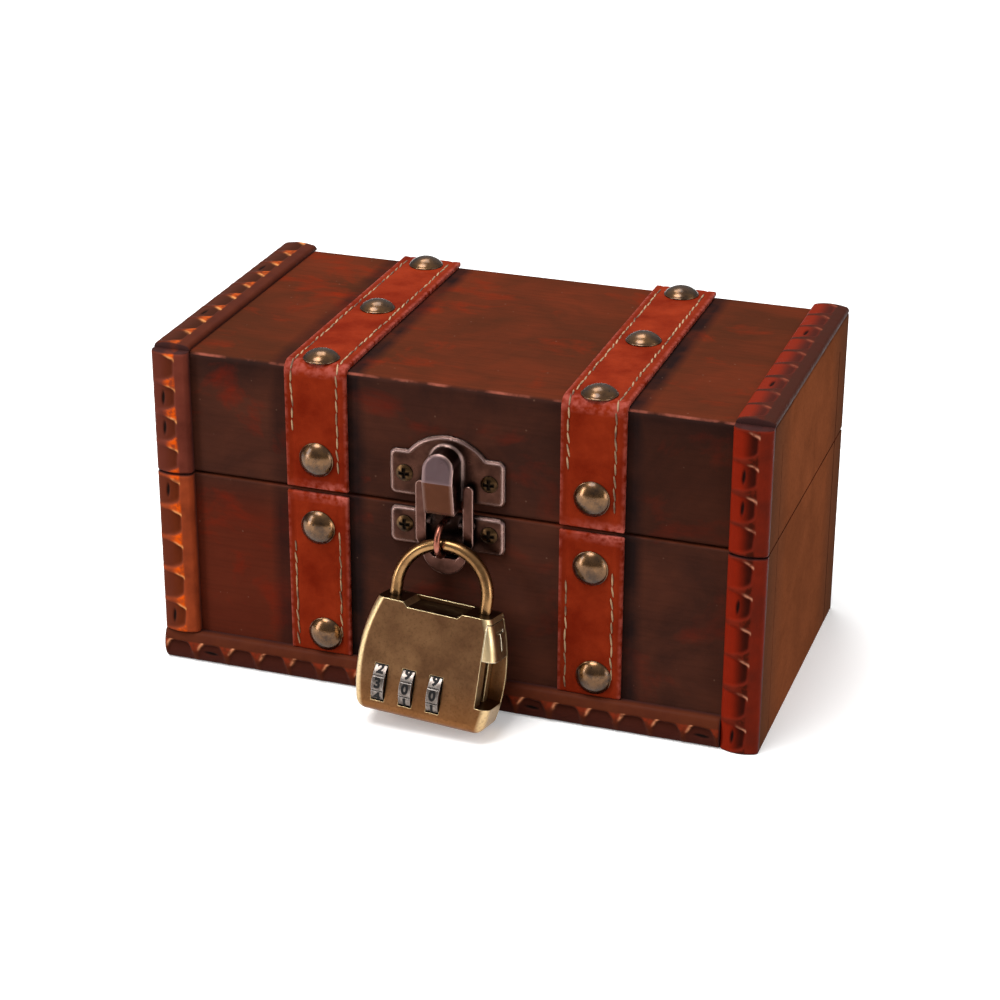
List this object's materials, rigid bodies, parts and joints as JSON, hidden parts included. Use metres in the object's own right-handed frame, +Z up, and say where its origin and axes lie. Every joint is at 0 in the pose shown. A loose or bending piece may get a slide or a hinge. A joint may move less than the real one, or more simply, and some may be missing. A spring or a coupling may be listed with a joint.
{
  "type": "treasure chest box",
  "caption": "Small wooden treasure chest with a hinged lid, carved edge mouldings, studded leather straps, a copper hasp and a hung brass dial padlock.",
  "frame": {"origin": "middle of the underside of the wooden box", "axes": "+X to the right along the front, +Y from the front to the hinges, +Z up"},
  "size_m": [0.16, 0.109, 0.0898],
  "materials": {
    "board_wood": "dark plum-brown lacquer with red patches, satin, worn",
    "top_wood": "mottled red-brown lacquer, satin, worn",
    "end_wood": "smooth brown stain, satin",
    "carved_wood": "red-brown stain rubbed through to orange on the ridges",
    "strap_leather": "orange-red stitched leather, semi-gloss",
    "stud_brass": "antique brass, polished on the crown",
    "nail_iron": "blackened",
    "hasp_copper": "antique copper plate, rubbed on the edges",
    "staple_copper": "bright copper",
    "screw_bronze": "olive bronze",
    "hinge_brass": "antique brass",
    "pin_steel": "plain",
    "padlock_brass": "antique brass, brushed",
    "shackle_brass": "polished brass",
    "dial_steel": "plated, with black numerals"
  },
  "bodies": {
    "box": {"box_back_board": "board_wood", "box_bottom_board": "board_wood", "box_bottom_moulding": "carved_wood", "box_front_board": "board_wood", "box_left_end": "end_wood", "box_left_front_moulding": "carved_wood", "box_left_strap": "strap_leather", "box_moulding_nails": "nail_iron", "box_right_end": "end_wood", "box_right_front_moulding": "carved_wood", "box_right_strap": "strap_leather", "box_studs": "stud_brass", "hasp_box_screws": "screw_bronze", "hasp_lever_pins": "pin_steel", "hasp_lower_plate": "hasp_copper", "hasp_staple": "staple_copper", "hinge_box_screws": "hinge_brass", "left_hinge_box_leaf": "hinge_brass", "left_hinge_pin": "hinge_brass", "right_hinge_box_leaf": "hinge_brass", "right_hinge_pin": "hinge_brass"},
    "lid": {"hasp_lid_screws": "screw_bronze", "hasp_upper_plate": "hasp_copper", "hinge_lid_screws": "hinge_brass", "left_hinge_lid_leaf": "hinge_brass", "lid_back_board": "board_wood", "lid_front_board": "board_wood", "lid_left_end": "end_wood", "lid_left_front_moulding": "carved_wood", "lid_left_strap": "strap_leather", "lid_left_top_moulding": "carved_wood", "lid_moulding_nails": "nail_iron", "lid_right_end": "end_wood", "lid_right_front_moulding": "carved_wood", "lid_right_strap": "strap_leather", "lid_right_top_moulding": "carved_wood", "lid_studs": "stud_brass", "lid_top_board": "top_wood", "right_hinge_lid_leaf": "hinge_brass"},
    "hasp_lever": {"hasp_lever": "hasp_copper"},
    "padlock": {"padlock_back_cover": "padlock_brass", "padlock_case": "padlock_brass", "padlock_dial_axle": "pin_steel", "padlock_shackle_pin": "pin_steel"},
    "padlock_shackle": {"padlock_shackle": "shackle_brass"},
    "padlock_left_dial": {"padlock_left_dial": "dial_steel"},
    "padlock_middle_dial": {"padlock_middle_dial": "dial_steel"},
    "padlock_right_dial": {"padlock_right_dial": "dial_steel"},
    "padlock_slider": {"padlock_slider": "shackle_brass"}
  },
  "joints": [
    {"name": "lid_hinge", "type": "hinge", "parent": "box", "child": "lid", "pos_m": [0, 0.04365, 0.05365], "axis": [-1, 0, 0], "range_deg": [0, 110]},
    {"name": "hasp_lever_swing", "type": "hinge", "parent": "box", "child": "hasp_lever", "pos_m": [-0.0014, -0.04405, 0.0508], "axis": [-1, 0, 0], "range_deg": [0, 5]},
    {"name": "padlock_swing", "type": "hinge", "parent": "box", "child": "padlock_shackle", "pos_m": [-0.0014, -0.0472, 0.0464], "axis": [-1, 0, 0], "range_deg": [0, 35]},
    {"name": "shackle_release", "type": "slide", "parent": "padlock_shackle", "child": "padlock", "axis": [-0.0645, -0.2414, -0.9683], "range_m": [0, 0.0026]},
    {"name": "left_dial_turn", "type": "hinge", "parent": "padlock", "child": "padlock_left_dial", "pos_m": [-0.00376, -0.0573, 0.01128], "axis": [0.9979, -0.0156, -0.0626], "continuous": true},
    {"name": "middle_dial_turn", "type": "hinge", "parent": "padlock", "child": "padlock_middle_dial", "pos_m": [-0.00376, -0.0573, 0.01128], "axis": [0.9979, -0.0156, -0.0626], "continuous": true},
    {"name": "right_dial_turn", "type": "hinge", "parent": "padlock", "child": "padlock_right_dial", "pos_m": [-0.00376, -0.0573, 0.01128], "axis": [0.9979, -0.0156, -0.0626], "continuous": true},
    {"name": "release_slide", "type": "slide", "parent": "padlock", "child": "padlock_slider", "axis": [-0.0645, -0.2414, -0.9683], "range_m": [0, 0.009], "stiffness_N_per_m": 160}
  ]
}
